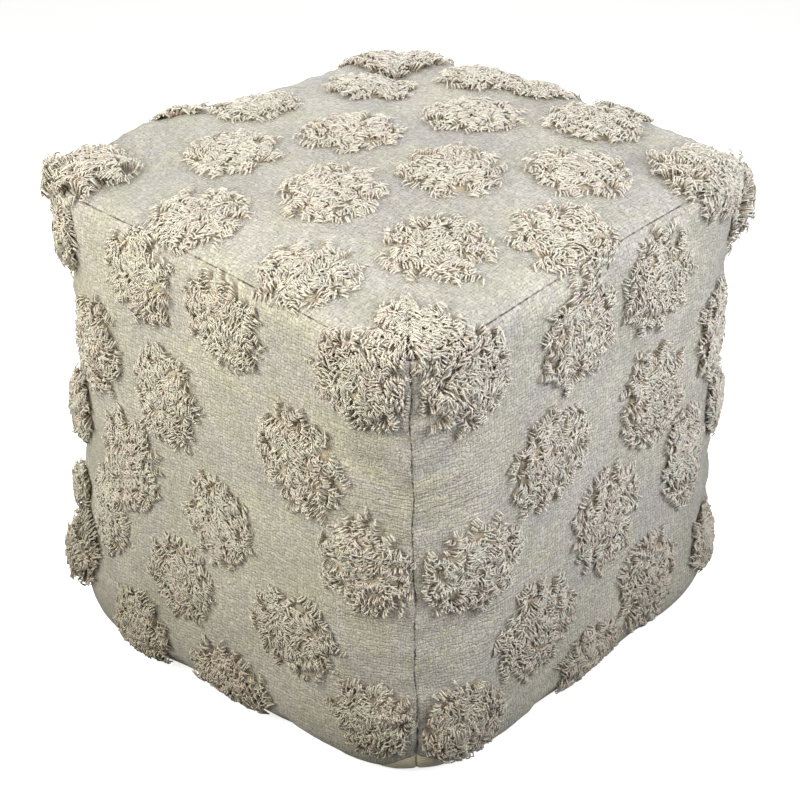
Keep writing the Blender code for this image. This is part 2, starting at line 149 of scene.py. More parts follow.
def flat_cube():
    """The cube of flat panels as a mesh, standing on the ground."""
    sewn = bmesh.new()
    bmesh.ops.create_cube(sewn, size=SIDE)
    bmesh.ops.subdivide_edges(sewn, edges=sewn.edges[:], cuts=COVER_CELLS - 1,
                              use_grid_fill=True)
    for vertex in sewn.verts:
        vertex.co = [eased(value) for value in vertex.co]
        vertex.co.z += HALF
    mesh = bpy.data.meshes.new("cover_cloth")
    sewn.to_mesh(mesh)
    sewn.free()
    return mesh


def stand(name, data):
    """A new object in the scene."""
    thing = bpy.data.objects.new(name, data)
    bpy.context.scene.collection.objects.link(thing)
    return thing


def places_of(mesh):
    places = np.empty(len(mesh.vertices) * 3)
    mesh.vertices.foreach_get("co", places)
    return places.reshape(-1, 3)


cover = stand("pouf_cover", flat_cube())
flat_places = places_of(cover.data)
print("cover cells:", len(cover.data.polygons))

# %% Fill it
FILL_PRESSURE = 3.0
FILL_FRAMES = 18
CLOTH_SPARE = 0.012         # the cloth is cut this much larger than the form
MOST_MOVE = 3.5 * MM


def filled_offset(places):
    """How far the filled cloth lies from the formula's cover, at each point."""
    start = stuffed(places)
    trial = stand("trial", cover.data.copy())
    trial.data.vertices.foreach_set("co", start.ravel())
    edges = (abs(abs(places[:, 0]) - HALF) < MM).astype(int)
    edges += abs(abs(places[:, 1]) - HALF) < MM
    edges += abs(places[:, 2] - SIDE) < MM
    held = (edges >= 2) | (places[:, 2] < MM)
    pins = trial.vertex_groups.new(name="seams")
    pins.add(np.flatnonzero(held).tolist(), 1.0, "REPLACE")
    cloth = trial.modifiers.new("fill", "CLOTH")
    cloth.settings.vertex_group_mass = "seams"
    cloth.settings.use_pressure = True
    cloth.settings.uniform_pressure_force = FILL_PRESSURE
    cloth.settings.shrink_min = -CLOTH_SPARE
    cloth.settings.effector_weights.gravity = 0
    cloth.collision_settings.use_collision = False
    cloth.point_cache.frame_start = 1
    cloth.point_cache.frame_end = FILL_FRAMES
    for step in range(1, FILL_FRAMES + 1):
        bpy.context.scene.frame_set(step)
    seen = trial.evaluated_get(bpy.context.evaluated_depsgraph_get())
    moved = places_of(seen.to_mesh()) - start
    seen.to_mesh_clear()
    bpy.data.objects.remove(trial)
    bpy.context.scene.frame_set(1)
    length = np.linalg.norm(moved, axis=1, keepdims=True)
    return moved * np.minimum(1, MOST_MOVE / np.maximum(length, 1e-9))


offset = filled_offset(flat_places)
print("largest move while filling, mm:", round(abs(offset).max() / MM, 2))

# %% Halve the cells and lay the finer cloth on the form
def named_values(mesh, name, kind="FLOAT"):
    return mesh.attributes.new(name, kind, "POINT").data


def finer_cube(mesh, moved):
    """The flat cube with its cells halved, and the offset carried over to the new points."""
    named_values(mesh, "moved", "FLOAT_VECTOR").foreach_set("vector", moved.ravel())
    halving = cover.modifiers.new("halve the cells", "SUBSURF")
    halving.subdivision_type = "SIMPLE"
    halving.levels = 1
    halving.render_levels = 1
    seen = cover.evaluated_get(bpy.context.evaluated_depsgraph_get())
    fine = bpy.data.meshes.new_from_object(seen)
    cover.modifiers.clear()
    carried = np.empty(len(fine.vertices) * 3)
    fine.attributes["moved"].data.foreach_get("vector", carried)
    fine.attributes.remove(fine.attributes["moved"])
    return fine, carried.reshape(-1, 3)


cover.data, offset = finer_cube(cover.data, offset)
cube = places_of(cover.data)
print("finer cover, triangles:", 2 * len(cover.data.polygons))

# %% [markdown]
# ## Seams
# Two panels are sewn right sides together, so a seam is a narrow valley with a dark line of
# painted shade at its bottom, and it wanders a little because it is sewn by hand. It could be a
# bump in the material, but a valley in the mesh also shows from the side, so the mesh gets it.

# %% Where each point lies: round the sides, and how far from the seams
SEAM_WANDER = 2.0 * MM      # how far an upright seam strays to each side
SEAM_WANDER_FADE = 22 * MM
SEAM_FADE = 30 * MM         # near the floor and the top an upright seam runs straight
SEAM_DEPTH = 1.9 * MM
TOP_SEAM_THINNER = 0.45 * MM
SEAM_HALF_WIDTH = 2.6 * MM
SEAM_WAVES = ((0.6, 19 * MM, 1.0), (0.4, 8.3 * MM, 2.3))    # strength, length and start
CORE_DEPTH = 60 * MM        # outwards is away from a box this far inside the cover
LOWEST_LEAN = -0.2          # and hardly downwards, however near the floor
PUFF = 13 * MM              # the filling stands up under the top's left seam
PUFF_MIDDLE = -100 * MM     # where along that seam
PUFF_LENGTH = 62 * MM
PUFF_WIDTH = 46 * MM


def run_of(places):
    """How far along the sides a point lies, counted from the left panel's left edge."""
    x, y = places[:, 0], places[:, 1]
    out = np.maximum(np.maximum(abs(x), abs(y)), 1e-6)
    a, b = x / out, y / out
    number = np.select([(b <= -1 + 1e-6), (a >= 1 - 1e-6), (b >= 1 - 1e-6)], [0, 1, 2], 3)
    along = np.select([number == 0, number == 1, number == 2], [a, b, -a], -b)
    return (number + (along + 1) / 2) * SIDE


def cube_at(run, up):
    """Point of the flat cube at a place round the sides and up; past SIDE it lies on the top."""
    number, along = np.divmod(run, SIDE)
    x = along - HALF
    y = np.maximum(up - SIDE, 0) - HALF
    for turn in (1, 2, 3):
        on = number % 4 >= turn
        x, y = np.where(on, -y, x), np.where(on, x, y)
    return np.stack([x, y, np.clip(up, 0, SIDE)], -1)


def outward(points):
    """Direction out of the cover, turning evenly from one panel's to the next."""
    low = np.array([CORE_DEPTH - WIDTH / 2, CORE_DEPTH - DEPTH / 2, CORE_DEPTH])
    high = np.array([WIDTH / 2 - CORE_DEPTH, DEPTH / 2 - CORE_DEPTH, SIDE - CORE_DEPTH])
    out = points - np.clip(points, low, high)
    out /= np.linalg.norm(out, axis=-1, keepdims=True)
    out[..., 2] = np.maximum(out[..., 2], LOWEST_LEAN)
    return out / np.linalg.norm(out, axis=-1, keepdims=True)


def seam_wander(up, number):
    """Sideways stray of the upright seam with this number."""
    first = 3.1 * number + 0.4
    return SEAM_WANDER * sum(strength * np.sin(up / length + start * first)
                             for strength, length, start in SEAM_WAVES)


# %% Lay the cloth: wandering upright seams, valleys along all of them
run = run_of(cube)
up = cube[:, 2]
inset = HALF - np.maximum(abs(cube[:, 0]), abs(cube[:, 1]))
on_side = (up < SIDE - NEAR) & (inset < NEAR)
seam_number = np.round(run / SIDE)
from_upright = run - seam_number * SIDE
over_floor = np.clip(up / SEAM_FADE, 0, 1)
stray = seam_wander(up, seam_number % 4) * np.exp(-(from_upright / SEAM_WANDER_FADE) ** 2)
stray *= np.clip((SIDE - up) / SEAM_FADE, 0, 1) * over_floor
strayed = np.where(on_side[:, None], cube_at((run + stray) % (4 * SIDE), up), cube)

to_top_seam = np.where(on_side, SIDE - up, inset) + TOP_SEAM_THINNER
beside_upright = np.where(up < SIDE - NEAR, from_upright, SIDE)
to_seam = np.minimum(to_top_seam, abs(beside_upright))
to_seam = np.where(up < NEAR, SIDE, to_seam)

cloth_places = stuffed(strayed) + offset
valley = SEAM_DEPTH * np.exp(-(to_seam / SEAM_HALF_WIDTH) ** 2) * over_floor
cloth_places -= outward(cloth_places) * valley[:, None]
from_left_seam = (cube[:, 0] + HALF) + (SIDE - up)
puff = PUFF * np.exp(-((cube[:, 1] - PUFF_MIDDLE) / PUFF_LENGTH) ** 2
                     - (from_left_seam / PUFF_WIDTH) ** 2)
cloth_places += outward(cloth_places) * puff[:, None]
solid_low, solid_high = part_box("pouf_body")
own_low, own_high = stuffed(cube).min(0), stuffed(cube).max(0)
shift = (np.array(solid_low) + solid_high - own_low - own_high) / 2 * (1, 1, 0)
print("the frame's middle lies off by, mm:", (shift / MM).round(2))

# %% [markdown]
# ## The base panel's edge
# The base is a plainer, ridged cloth. It is turned up under the sides, and at the upright
# seams, where the side panels are drawn up, a pale band of it shows. It needs no mesh of its
# own, only a mark on the cover of how far each point lies above the band's edge.

# %% Marks that the cover's finish reads
BAND_AT_SEAM = 37 * MM      # the band's height at an upright seam
BAND_BETWEEN = 3 * MM       # and between the seams
BAND_REACH = 46 * MM        # how soon it narrows
SLUB_ELSEWHERE = 0.22       # how strongly thick yarns show away from the places below
Slub = namedtuple("Slub", "panel across up wide tall")
SLUB_PLACES = (             # where thick cream yarns show as bands, in millimetres
    Slub("left", 190, 318, 120, 60),
    Slub("right", -190, 300, 150, 70),
    Slub("left", 60, 365, 90, 24),
    Slub("right", -120, 180, 110, 30),
    Slub("left", 110, 190, 130, 26),
    Slub("back_right", 120, 300, 140, 50),
    Slub("back_left", -110, 220, 140, 50),
)
at_seam = np.exp(-(from_upright / BAND_REACH) ** 2)
band_edge = BAND_BETWEEN + (BAND_AT_SEAM - BAND_BETWEEN) * at_seam
above_band = np.where(on_side | (up > SIDE / 2), up - band_edge, -band_edge)

slub = np.full(len(cube), SLUB_ELSEWHERE)
for place in SLUB_PLACES:
    middle = SIDE_PANELS.index(place.panel) * SIDE + HALF + place.across * MM
    beside = (run - middle + 2 * SIDE) % (4 * SIDE) - 2 * SIDE
    above = up - place.up * MM
    near = np.exp(-(beside / (place.wide * MM)) ** 2 - (above / (place.tall * MM)) ** 2)
    slub = np.maximum(slub, near)
slub *= up < SIDE - NEAR

mesh = cover.data
mesh.vertices.foreach_set("co", (cloth_places + shift).ravel())
MARKS = {"to_top_seam": to_top_seam, "beside_upright": beside_upright,
         "above_band": above_band, "slub": slub}
for name, values in MARKS.items():
    named_values(mesh, name).foreach_set("value", values)
mesh.shade_smooth()
print("marks on the cover:", list(MARKS))

# %% The weave's own directions, as a UV map in metres
def lay_weave(mesh, places):
    """Across and up along each panel's threads; the panels lie side by side in the map."""
    corners = np.empty(len(mesh.loops), int)
    mesh.loops.foreach_get("vertex_index", corners)
    x, y, z = places[corners].reshape(-1, 4, 3).mean(1).T
    panel = np.select([z > SIDE - NEAR, z < NEAR, y < NEAR - HALF, x > HALF - NEAR,
                       y > HALF - NEAR], [4, 5, 0, 1, 2], 3)
    panel = np.repeat(panel, 4)
    x, y, z = places[corners].T
    across = np.select([panel == 0, panel == 1, panel == 2, panel == 3], [x, y, -x, -y], x)
    up = np.where(panel < 4, z, y + HALF)
    threads = np.stack([across + HALF + panel * 2 * SIDE, up], 1)
    mesh.uv_layers.new(name="threads").data.foreach_set("uv", threads.ravel())


lay_weave(mesh, cube)
finished = places_of(mesh)
print("cover box, mm:", (finished.min(0) / MM).round(1), (finished.max(0) / MM).round(1))

# %% [markdown]
# ## Shared finishes
# The cloth and the yarn share two effects: the grain of cotton with its uneven dye, and the
# painted shade that darkens both towards the floor. Each could be set up in both materials, but
# one node group with named sockets stays the same everywhere, and each material places it with its
# own values. The weave is a third group, which keeps its many small steps out of the material.

# %% Helpers for node trees
FLOAT, VECTOR, COLOUR = "NodeSocketFloat", "NodeSocketVector", "NodeSocketColor"
WHITE = (1.0, 1.0, 1.0, 1)


class Nodes:
    """Adds nodes to a tree in one line each."""

    def __init__(self, tree):
        self.tree = tree

    def fill(self, node, inputs):
        """Give each input a number or a colour, or join it to another node's output."""
        for socket, value in inputs.items():
            if isinstance(value, bpy.types.NodeSocket):
                self.tree.links.new(value, node.inputs[socket])
            else:
                node.inputs[socket].default_value = value
        return node

    def add(self, kind, inputs=None, **settings):
        node = self.tree.nodes.new(kind)
        for name, value in settings.items():
            setattr(node, name, value)
        return self.fill(node, inputs or {})

    def place(self, group, inputs):
        return self.add("ShaderNodeGroup", inputs, node_tree=group).outputs

    def math(self, operation, *values):
        node = self.add("ShaderNodeMath", dict(enumerate(values)), operation=operation)
        return node.outputs[0]

    def plus(self, first, second):
        return self.math("ADD", first, second)

    def less(self, first, second):
        return self.math("SUBTRACT", first, second)

    def times(self, first, second):
        return self.math("MULTIPLY", first, second)

    def ramp(self, value, low, high, to_low=0.0, to_high=1.0):
        """From to_low at low to to_high at high, eased at both ends."""
        ends = {"From Min": low, "From Max": high, "To Min": to_low, "To Max": to_high}
        node = self.add("ShaderNodeMapRange", {"Value": value, **ends},
                        interpolation_type="SMOOTHSTEP")
        return node.outputs["Result"]

    def noise(self, vector, scale, detail=2.0, rough=0.5):
        inputs = {"Vector": vector, "Scale": scale, "Detail": detail, "Roughness": rough}
        return self.add("ShaderNodeTexNoise", inputs).outputs["Fac"]

    def mix(self, share, first, second, blend="MIX"):
        node = self.add("ShaderNodeMix", data_type="RGBA", blend_type=blend)
        return self.fill(node, {0: share, 6: first, 7: second}).outputs[2]

    def lit(self, colour, share):
        """A colour, lighter or darker by one number."""
        grey = self.add("ShaderNodeCombineColor", {0: share, 1: share, 2: share})
        return self.mix(1.0, colour, grey.outputs[0], "MULTIPLY")

    def scaled(self, vector, factors):
        node = self.add("ShaderNodeVectorMath", {0: vector, 1: factors}, operation="MULTIPLY")
        return node.outputs[0]


def new_group(name, inputs, outputs):
    """A node group with these sockets, its nodes, what it is given, and its results' node."""
    group = bpy.data.node_groups.new(name, "ShaderNodeTree")
    for label, kind, value in inputs:
        socket = group.interface.new_socket(name=label, in_out="INPUT", socket_type=kind)
        if value is not None:
            socket.default_value = value
    for label, kind in outputs:
        group.interface.new_socket(name=label, in_out="OUTPUT", socket_type=kind)
    nodes = Nodes(group)
    return group, nodes, nodes.add("NodeGroupInput").outputs, nodes.add("NodeGroupOutput")


def new_material(name):
    material = bpy.data.materials.new(name)
    material.use_nodes = True
    nodes = Nodes(material.node_tree)
    return material, nodes, material.node_tree.nodes["Principled BSDF"]


# %% Group: cotton grain, fine fibres and uneven dye
def cotton_grain_group():
    group, nodes, given, result = new_group(
        "cotton grain",
        [("Place", VECTOR, None), ("Colour", COLOUR, None), ("Fibre Scale", FLOAT, 900.0),
         ("Dye Scale", FLOAT, 14.0), ("Dye Spread", FLOAT, 0.1)],
        [("Colour", COLOUR), ("Height", FLOAT)])
    fibres = nodes.noise(given["Place"], given["Fibre Scale"], 2.0, 0.6)
    dye = nodes.noise(given["Place"], given["Dye Scale"], 3.0, 0.6)
    swing = nodes.plus(nodes.times(nodes.less(dye, 0.5), 4.0), nodes.less(fibres, 0.5))
    light = nodes.plus(nodes.times(swing, given["Dye Spread"]), 1.0)
    nodes.fill(result, {"Colour": nodes.lit(given["Colour"], light), "Height": fibres})
    return group


cotton_grain = cotton_grain_group()

# %% Group: painted floor shade, the cotton painted darker towards the floor
# painted shade: how far up the darkening reaches
FLOOR_SHADE_REACH = 220 * MM       # where it has faded out


def painted_floor_shade_group():
    """Painted shade towards the floor: Kept is the share of its colour that the cotton keeps at
    the floor.
    """
    group, nodes, given, result = new_group(
        "painted floor shade",
        [("Place", VECTOR, None), ("Colour", COLOUR, None), ("Kept", COLOUR, None),
         ("Reach", FLOAT, FLOOR_SHADE_REACH)],
        [("Colour", COLOUR)])
    height = nodes.add("ShaderNodeSeparateXYZ", {0: given["Place"]}).outputs["Z"]
    share = nodes.ramp(nodes.math("DIVIDE", height, given["Reach"]), 0.0, 1.0, 1.0, 0.0)
    kept = nodes.mix(share, WHITE, given["Kept"])
    nodes.fill(result, {"Colour": nodes.mix(1.0, given["Colour"], kept, "MULTIPLY")})
    return group


painted_floor_shade = painted_floor_shade_group()

# %% Group: plain weave of thick and thin hand-spun threads
STRAY_SCALE = 150.0         # noise features to a metre, which bend the threads
THREAD_FULLNESS = 0.6       # a power: the lower, the flatter a thread's top
THREAD_DIP = 0.45           # how low a thread lies where it goes under
GAP_HEIGHTS = (0.66, 0.25)  # where a gap between threads starts, and where it is full


def plain_weave_group():
    """Two sets of threads, over and under in turn. Threads is in metres, Pitch in metres."""
    group, nodes, given, result = new_group(
        "plain weave",
        [("Threads", VECTOR, None), ("Pitch", FLOAT, 0.0021), ("Unevenness", FLOAT, 0.62)],
        [("Height", FLOAT), ("Gap", FLOAT), ("Thread", FLOAT)])
    stray = nodes.add("ShaderNodeTexNoise", {"Vector": given["Threads"], "Scale": STRAY_SCALE})
    centred = nodes.add("ShaderNodeVectorMath", {0: stray.outputs["Color"], 1: (0.5, 0.5, 0.5)},
                        operation="SUBTRACT")
    reach = nodes.times(nodes.times(given["Pitch"], given["Unevenness"]), 4.0)
    spread = nodes.add("ShaderNodeVectorMath", {0: centred.outputs[0], "Scale": reach},
                       operation="SCALE")
    bent = nodes.add("ShaderNodeVectorMath", {0: given["Threads"], 1: spread.outputs[0]},
                     operation="ADD")
    split = nodes.add("ShaderNodeSeparateXYZ", {0: bent.outputs[0]}).outputs
    counts = [nodes.math("DIVIDE", split[axis], given["Pitch"]) for axis in "XY"]
    numbers = [nodes.math("FLOOR", count) for count in counts]
    over = nodes.math("MODULO", nodes.math("ABSOLUTE", nodes.plus(*numbers)), 2.0)
    across, up = [nodes.math("ABSOLUTE", nodes.math("SINE", nodes.times(count, math.pi)))
                  for count in counts]

    def thread_height(own, other):
        dip = nodes.plus(nodes.times(other, 1 - THREAD_DIP), THREAD_DIP)
        return nodes.times(nodes.math("POWER", own, THREAD_FULLNESS), dip)

    height = nodes.plus(nodes.times(thread_height(across, up), over),
                        nodes.times(thread_height(up, across), nodes.less(1.0, over)))
    cell = nodes.add("ShaderNodeCombineXYZ", dict(enumerate(numbers)))
    thread = nodes.add("ShaderNodeTexWhiteNoise", {"Vector": cell.outputs[0]},
                       noise_dimensions="2D")
    nodes.fill(result, {"Height": height, "Gap": nodes.ramp(height, *GAP_HEIGHTS),
                        "Thread": thread.outputs["Value"]})
    return group


plain_weave = plain_weave_group()
print("finish groups:", [group.name for group in (cotton_grain, painted_floor_shade, plain_weave)])

# %% [markdown]
# ## The cover's finish
# Seen close, the cloth is a field of small rounded crossings, cooler and greyer than the
# tufts, with painted shade in the gaps between the threads. Some weft yarns are thick and creamy
# and show as bands. The seams have a dark line of painted shade in their valleys, and the base's
# edge is a pale yellowish band with ridges along it, edged by a thin line of painted shade. A
# picture of cloth could be laid on, but it would repeat, and a woven pattern made of nodes
# doesn't.

# %% Material: hand-woven cover
CLOTH_PALE = (0.572, 0.555, 0.493, 1)
CLOTH_GREY = (0.501, 0.490, 0.450, 1)
CLOTH_CREAM = (0.622, 0.585, 0.462, 1)
# painted shade in the gaps between the threads
CLOTH_HOLE_SHADE = (0.20, 0.17, 0.12, 1)          # between two threads
TINT_GREEN = (0.99, 0.995, 0.95, 1)         # uneven dye, as shares of the cloth's colour
TINT_LAVENDER = (1.00, 0.985, 1.03, 1)
# painted shade towards the floor, for the cloth
CLOTH_FLOOR_SHADE = (0.88, 0.87, 0.84, 1)      # share of its colour that it keeps down there
WEAVE_PITCH = 3.4 * MM
PATCH_SCALE = 9.0                           # scales are noise features to a metre
DYE_SCALE = 24.0
HOLE_SCALE = 240.0
STREAK_SCALE = (9.0, 330.0, 1.0)            # streaks are long across, and a thread high


def woven_colour(nodes, place, threads, weave, bands):
    """The cloth without its seams: grey and pale patches, cream yarns, beads, painted shade in the
    holes between threads, and painted shade towards the floor.
    """
    patches = nodes.ramp(nodes.noise(place, PATCH_SCALE, 3.0, 0.6), 0.42, 0.62)
    colour = nodes.mix(patches, CLOTH_GREY, CLOTH_PALE)
    colour = nodes.mix(bands, colour, CLOTH_CREAM)
    dye = nodes.ramp(nodes.noise(place, DYE_SCALE, 2.0, 0.6), 0.38, 0.62)
    colour = nodes.mix(1.0, colour, nodes.mix(dye, TINT_GREEN, TINT_LAVENDER), "MULTIPLY")
    colour = nodes.lit(colour, nodes.ramp(weave["Thread"], 0.0, 1.0, 0.86, 1.10))
    # painted shade where the threads dip, stronger in some places than others
    hole_shade = nodes.ramp(nodes.noise(threads, HOLE_SCALE), 0.35, 0.65, 0.06, 0.74)
    colour = nodes.mix(nodes.times(weave["Gap"], hole_shade), colour, CLOTH_HOLE_SHADE)
    # painted shade, darker towards the floor
    return nodes.place(painted_floor_shade, {"Kept": CLOTH_FLOOR_SHADE, "Place": place,
                                     "Colour": colour})["Colour"]


# %% Its base edge, and its seam lines of painted shade
# Painted shade: a dark line in the seams' valleys and along the base band's edge
SEAM_SHADE = (0.085, 0.066, 0.042, 1)
BASE_PALE = (0.950, 0.890, 0.680, 1)
BASE_DEEP = (0.860, 0.790, 0.560, 1)
BAND_SOFTNESS = 0.6 * MM
EDGE_LINE = (1.6 * MM, 0.4 * MM)            # where a line starts to darken, and where it is full
EDGE_LINE_STRENGTH = 0.6
SEAM_LINE = (1.4 * MM, 0.6 * MM)
SEAM_FRAY = 1.8 * MM
FRAY_SCALE = 260.0
STITCH_SCALE = 110.0                        # the line is broken by its stitches
STITCH_LIGHTEST = 0.35
SEAM_KINK = 5.0 * MM                        # how far the line may zigzag in its valley
KINK_SCALE = (20.0, 290.0, 1.0)


def painted_line_shade(nodes, place, threads, marks, in_band):
    """How much painted shade each point gets from the stitched seams and from the base panel's
    edge.
    """
    band_edge_shade = nodes.ramp(nodes.math("ABSOLUTE", marks["above_band"]), *EDGE_LINE)
    frayed = nodes.times(nodes.less(nodes.noise(place, FRAY_SCALE, 1.0), 0.5), SEAM_FRAY)
    kinks = nodes.noise(nodes.scaled(threads, KINK_SCALE), 1.0, 1.0)
    kinks = nodes.times(nodes.less(kinks, 0.5), SEAM_KINK)
    upright = nodes.math("ABSOLUTE", nodes.plus(marks["beside_upright"], kinks))
    to_seam = nodes.math("MINIMUM", marks["to_top_seam"], upright)
    seam_crease_shade = nodes.ramp(nodes.plus(to_seam, frayed), *SEAM_LINE)
    seam_crease_shade = nodes.times(seam_crease_shade, nodes.less(1.0, in_band))
    line = nodes.math("MAXIMUM", seam_crease_shade, nodes.times(band_edge_shade, EDGE_LINE_STRENGTH))
    stitches = nodes.noise(place, STITCH_SCALE, 2.0, 0.7)
    return nodes.times(line, nodes.ramp(stitches, 0.36, 0.56, STITCH_LIGHTEST))


# %% The cover's shader
WEAVE_RELIEF = 1.0 * MM
RELIEF_STRENGTH = 0.78
SLUB_RELIEF = 0.5           # shares of the weave's own
GRAIN_RELIEF = 0.25
RIDGE_PITCH = 3.2 * MM
BASE_SCALE = 60.0


def cover_material():
    material, nodes, surface = new_material("cover_cloth")
    threads = nodes.add("ShaderNodeUVMap", uv_map="threads").outputs["UV"]
    place = nodes.add("ShaderNodeTexCoord").outputs["Object"]
    marks = {name: nodes.add("ShaderNodeAttribute", attribute_name=name).outputs["Fac"]
             for name in MARKS}
    weave = nodes.place(plain_weave, {"Pitch": WEAVE_PITCH, "Threads": threads})
    streaks = nodes.noise(nodes.scaled(threads, STREAK_SCALE), 1.0, 2.0, 0.55)
    bands = nodes.times(nodes.ramp(streaks, 0.42, 0.62), marks["slub"])
    in_band = nodes.ramp(marks["above_band"], BAND_SOFTNESS, -BAND_SOFTNESS)
    base_cloth = nodes.mix(nodes.noise(place, BASE_SCALE), BASE_PALE, BASE_DEEP)
    colour = woven_colour(nodes, place, threads, weave, bands)
    colour = nodes.mix(in_band, colour, base_cloth)
    line = painted_line_shade(nodes, place, threads, marks, in_band)
    # the seams' and the band edge's painted shade
    colour = nodes.mix(line, colour, SEAM_SHADE)
    grain = nodes.place(cotton_grain, {"Fibre Scale": 1400.0, "Dye Scale": 22.0,
                                       "Dye Spread": 0.07, "Place": place, "Colour": colour})

    ridges = nodes.math("SINE", nodes.times(marks["above_band"], TURN / RIDGE_PITCH))
    ridges = nodes.plus(nodes.times(ridges, 0.5), 0.5)
    height = nodes.plus(nodes.times(weave["Height"], nodes.less(1.0, in_band)),
                        nodes.times(ridges, in_band))
    height = nodes.plus(height, nodes.times(bands, SLUB_RELIEF))
    height = nodes.plus(height, nodes.times(grain["Height"], GRAIN_RELIEF))
    bump = nodes.add("ShaderNodeBump", {"Strength": RELIEF_STRENGTH,
                                        "Distance": WEAVE_RELIEF, "Height": height})
    nodes.fill(surface, {"Base Color": grain["Colour"], "Normal": bump.outputs[0],
                         "Roughness": nodes.ramp(weave["Height"], 0.0, 1.0, 1.0, 0.86),
                         "Sheen Weight": 0.12, "Sheen Roughness": 0.6,
                         "Specular IOR Level": 0.25})
    return material


cover_finish = cover_material()
mesh.materials.clear()
mesh.materials.append(cover_finish)
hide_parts("pouf_body")
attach(cover, "root")
print("nodes in the cover's finish:", len(cover_finish.node_tree.nodes))

# %% [markdown]
# ## The tufts
# Weavers lay a hank of soft cotton yarn over the warp, row on row in a round patch, and cut
# the loops. The cut ends stand a centimetre or so, untwist, curl and lie over each other, and
# at the rim they splay out over the cloth. Hair particles could do this, but a real mesh keeps
# the same strands in every render and in the exported model, so each strand is a short
# twisted tube laid along the cover.

# %% Where the tufts sit
# In millimetres: across from the panel's middle and up from the base seam, or x and y from
# the middle of the top panel. Tufts with the same piece name run together.
# The last value, where one stands, is how high the tuft stands, times the usual.
Tuft = namedtuple("Tuft", "piece panel across up wide tall high", defaults=(1.0,))
TUFTS = [Tuft("tuft_" + name, *place) for name, *place in (
    # around the four upper corners
    ("corner_front", "top", 200, -192, 90, 82, 1.35),
    ("corner_front", "left", 174, 417, 108, 86, 1.45),
    ("corner_front", "right", -164, 412, 96, 90, 1.45),
    ("corner_left", "top", -208, -200, 104, 100, 3.0),
    ("corner_left", "left", -202, 410, 48, 66, 2.0),
    ("corner_left", "back_left", 213, 436, 66, 52, 3.7),
    ("corner_left", "back_left", 211, 398, 48, 46, 1.7),
    ("corner_right", "top", 211, 166, 98, 108, 2.6),
    ("corner_right", "right", 180, 440, 92, 46, 1.4),
    ("corner_right", "back_right", -204, 404, 80, 84, 3.5),
    ("corner_back", "top", -194, 192, 96, 96, 1.8),
    ("corner_back", "back_left", -182, 425, 88, 80, 1.4),
    ("corner_back", "back_right", 184, 425, 88, 80, 1.4),
    # top panel
    ("top_01", "top", -54, -190, 92, 88),
    ("top_01", "left", -85, 411, 88, 84),
    ("top_02", "top", 77, -190, 92, 88),
    ("top_03", "top", -118, -96, 94, 92),
    ("top_04", "top", 9, -94, 96, 96),
    ("top_05", "top", 134, -96, 100, 100),
    ("top_06", "top", -184, -3, 84, 88),
    ("top_07", "top", -61, 2, 96, 102),
    ("top_08", "top", 62, 3, 94, 96),
    ("top_09", "top", 195, -12, 98, 102),
    ("top_10", "top", -146, 110, 92, 94),
    ("top_11", "top", -9, 103, 94, 98),
    ("top_12", "top", 137, 82, 96, 100),
    ("top_13", "top", -81, 194, 80, 78, 1.6),
    ("top_13", "top", -22, 212, 74, 70, 1.3),
    ("top_14", "top", 78, 172, 98, 98, 1.3),
    ("top_14", "back_right", -66, 436, 72, 64, 1.2),
    # left panel
    ("left_01", "left", 18, 407, 98, 82),
    ("left_02", "left", -156, 321, 82, 98, 1.5),
    ("left_03", "left", -57, 308, 80, 102),
    ("left_04", "left", 104, 315, 104, 104, 1.2),
    ("left_05", "left", -109, 222, 76, 106, 0.75),
    ("left_05", "left", -147, 157, 60, 98, 0.75),
    ("left_06", "left", -206, 240, 54, 74, 1.7),
    ("left_07", "left", 2, 208, 86, 94, 0.75),
    ("left_08", "left", 173, 236, 108, 104, 1.2),
    ("left_09", "left", -208, 90, 76, 84, 3.1),
    ("left_09", "left", -217, 152, 32, 36, 1.8),
    ("left_10", "left", -46, 126, 80, 86, 0.65),
    ("left_11", "left", 92, 134, 104, 86, 0.75),
    ("left_12", "left", -99, 52, 68, 78, 1.4),
    ("left_13", "left", 12, 45, 94, 72, 1.3),
    ("left_14", "left", 176, 78, 94, 78, 1.2),
    # right panel
    ("right_01", "right", -33, 390, 102, 102),
    ("right_02", "right", 72, 395, 98, 100),
    ("right_03", "right", 172, 304, 66, 110, 1.15),
    ("right_04", "right", -67, 289, 108, 102),
    ("right_05", "right", 71, 284, 94, 112),
    ("right_06", "right", 122, 194, 62, 114, 0.8),
    ("right_07", "right", -158, 225, 122, 98, 1.2),
    ("right_08", "right", 10, 186, 92, 116, 0.8),
    ("right_09", "right", 171, 79, 58, 70, 1.15),
    ("right_10", "right", -84, 122, 112, 98, 0.8),
    ("right_11", "right", 70, 86, 84, 112, 0.8),
    ("right_12", "right", -175, 66, 94, 92, 1.2),
    ("right_13", "right", -12, 46, 86, 64, 0.8),
    ("right_14", "right", 202, 216, 54, 68, 1.3),
    # back left panel, at its upper edge
    ("back_left_07", "back_left", 57, 441, 58, 46, 1.2),
)]

